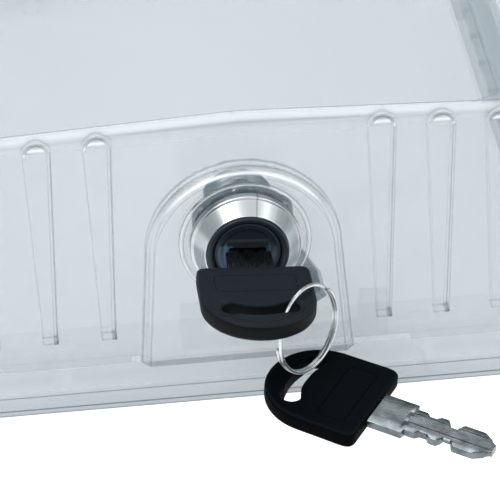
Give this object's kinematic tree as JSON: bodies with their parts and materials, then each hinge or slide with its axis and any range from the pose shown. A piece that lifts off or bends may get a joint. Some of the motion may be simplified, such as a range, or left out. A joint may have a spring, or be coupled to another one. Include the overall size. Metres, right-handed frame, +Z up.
{
  "type": "donation box",
  "caption": "Clear lockable wall or table box with a hinged cover, a slot in its top, a cam lock in front and keys on a split ring.",
  "frame": {"origin": "centre of the base tray's underside, midway between its screw holes", "axes": "+Z up out of the top face, front wall and lock face -Y, +X to the right seen from the front"},
  "size_m": [0.17, 0.2538, 0.0714],
  "materials": {
    "clear_base": "clear moulded plastic",
    "clear_cover": "clear moulded plastic",
    "steel": "zinc-plated",
    "lock_zinc": "satin plated zinc",
    "plug_brass": "plain",
    "key_metal": "nickel-plated",
    "black_plastic": "fine matt"
  },
  "bodies": {
    "base": {"base_tray": "clear_base", "catch": "clear_base", "hinge_pins": "steel"},
    "cover": {"cover": "clear_cover", "lock_body": "lock_zinc", "face_ring": "black_plastic", "star_washer": "steel", "lock_nut": "lock_zinc"},
    "plug": {"lock_plug": "plug_brass", "plug_face": "black_plastic", "wafers": "plug_brass", "cam": "steel", "cam_stop_washer": "steel", "cam_spring_washer": "steel", "cam_screw": "steel"},
    "key_1": {"key_1_blade": "key_metal", "key_1_bow": "black_plastic"},
    "ring": {"key_ring": "steel"},
    "key_2": {"key_2_blade": "key_metal", "key_2_bow": "black_plastic"}
  },
  "joints": [
    {"name": "cover_hinge", "type": "hinge", "parent": "base", "child": "cover", "pos_m": [0, 0.09615, 0.011], "axis": [-1, 0, 0], "range_deg": [0, 100]},
    {"name": "lock_turn", "type": "hinge", "parent": "cover", "child": "plug", "pos_m": [0, -0.08871, 0.0398], "axis": [0, 0.9951, -0.0993], "range_deg": [-58, 32]},
    {"name": "key_insert", "type": "slide", "parent": "plug", "child": "key_1", "axis": [0, -0.9951, 0.0993], "range_m": [-0.0005, 0.026]},
    {"name": "ring_swing", "type": "hinge", "parent": "key_1", "child": "ring", "pos_m": [0.01072, -0.12221, 0.03592], "axis": [0.6977, -0.705, 0.1271], "range_deg": [-10, 10]},
    {"name": "key_2_swing", "type": "hinge", "parent": "ring", "child": "key_2", "pos_m": [0.01072, -0.12221, 0.0258], "axis": [0.7111, 0.7031, 0], "range_deg": [-15, 15]}
  ]
}
